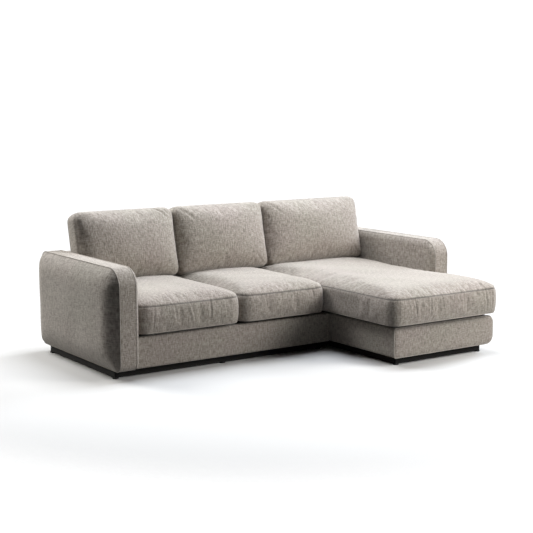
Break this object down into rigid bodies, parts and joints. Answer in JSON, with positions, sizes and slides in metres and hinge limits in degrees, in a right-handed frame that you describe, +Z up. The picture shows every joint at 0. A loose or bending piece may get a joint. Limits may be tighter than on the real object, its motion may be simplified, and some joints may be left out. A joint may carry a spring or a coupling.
{
  "type": "corner sofa",
  "caption": "Upholstered corner sofa with rounded arms, loose crowned seat and back cushions, a chaise on its right side and a recessed dark plinth.",
  "frame": {"origin": "on the floor under the middle of the bounding box", "axes": "+Z up, -Y the way the sofa faces, +X the side of the chaise"},
  "size_m": [2.6, 1.685, 0.89],
  "materials": {
    "greige_chenille": "woven, matt",
    "dark_plinth": "dark stain, satin",
    "black_glide": "matt",
    "plywood": "raw",
    "pine": "planed",
    "elastic_webbing": "woven",
    "platform_cloth": "felted",
    "foam": "open-cell"
  },
  "bodies": {
    "sofa_frame": {"chaise_back_cover": "greige_chenille", "chaise_back_posts": "plywood", "chaise_back_rails": "pine", "chaise_back_top_rail": "pine", "chaise_back_webbing": "elastic_webbing", "chaise_base_board": "plywood", "chaise_base_cover": "greige_chenille", "chaise_centre_rail": "pine", "chaise_corner_blocks": "pine", "chaise_deck_pad": "platform_cloth", "chaise_front_rail": "pine", "chaise_plinth_end_boards": "dark_plinth", "chaise_plinth_side_boards": "dark_plinth", "chaise_side_rails": "pine", "chaise_webbing_front_to_back": "elastic_webbing", "chaise_webbing_side_to_side": "elastic_webbing", "left_arm_boards": "plywood", "left_arm_cover": "greige_chenille", "left_arm_posts": "pine", "left_arm_rails": "pine", "plinth_glides": "black_glide", "right_arm_boards": "plywood", "right_arm_cover": "greige_chenille", "right_arm_plinth_board": "dark_plinth", "right_arm_plinth_ties": "dark_plinth", "right_arm_posts": "pine", "right_arm_rails": "pine", "seat_back_cover": "greige_chenille", "seat_back_posts": "plywood", "seat_back_rails": "pine", "seat_back_top_rail": "pine", "seat_back_webbing": "elastic_webbing", "seat_base_board": "plywood", "seat_base_cover": "greige_chenille", "seat_centre_rail": "pine", "seat_corner_blocks": "pine", "seat_deck_pad": "platform_cloth", "seat_end_rails": "pine", "seat_front_rail": "pine", "seat_plinth_long_boards": "dark_plinth", "seat_plinth_side_boards": "dark_plinth", "seat_webbing_front_to_back": "elastic_webbing", "seat_webbing_side_to_side": "elastic_webbing"},
    "left_seat_cushion": {"left_seat_cushion_cover": "greige_chenille", "left_seat_cushion_filling": "foam"},
    "middle_seat_cushion": {"middle_seat_cushion_cover": "greige_chenille", "middle_seat_cushion_filling": "foam"},
    "chaise_cushion": {"chaise_cushion_cover": "greige_chenille", "chaise_cushion_filling": "foam"},
    "left_back_cushion": {"left_back_cushion_cover": "greige_chenille", "left_back_cushion_filling": "foam"},
    "middle_back_cushion": {"middle_back_cushion_cover": "greige_chenille", "middle_back_cushion_filling": "foam"},
    "right_back_cushion": {"right_back_cushion_cover": "greige_chenille", "right_back_cushion_filling": "foam"}
  },
  "joints": [
    {"name": "left_seat_cushion_pull", "type": "slide", "parent": "sofa_frame", "child": "left_seat_cushion", "axis": [0, -1, 0], "range_m": [0, 0.3]},
    {"name": "middle_seat_cushion_pull", "type": "slide", "parent": "sofa_frame", "child": "middle_seat_cushion", "axis": [0, -1, 0], "range_m": [0, 0.3]},
    {"name": "chaise_cushion_pull", "type": "slide", "parent": "sofa_frame", "child": "chaise_cushion", "axis": [0, -1, 0], "range_m": [0, 0.3]},
    {"name": "left_back_cushion_lift", "type": "slide", "parent": "sofa_frame", "child": "left_back_cushion", "axis": [0, 0, 1], "range_m": [0, 0.45]},
    {"name": "middle_back_cushion_lift", "type": "slide", "parent": "sofa_frame", "child": "middle_back_cushion", "axis": [0, 0, 1], "range_m": [0, 0.45]},
    {"name": "right_back_cushion_lift", "type": "slide", "parent": "sofa_frame", "child": "right_back_cushion", "axis": [0, 0, 1], "range_m": [0, 0.45]}
  ]
}
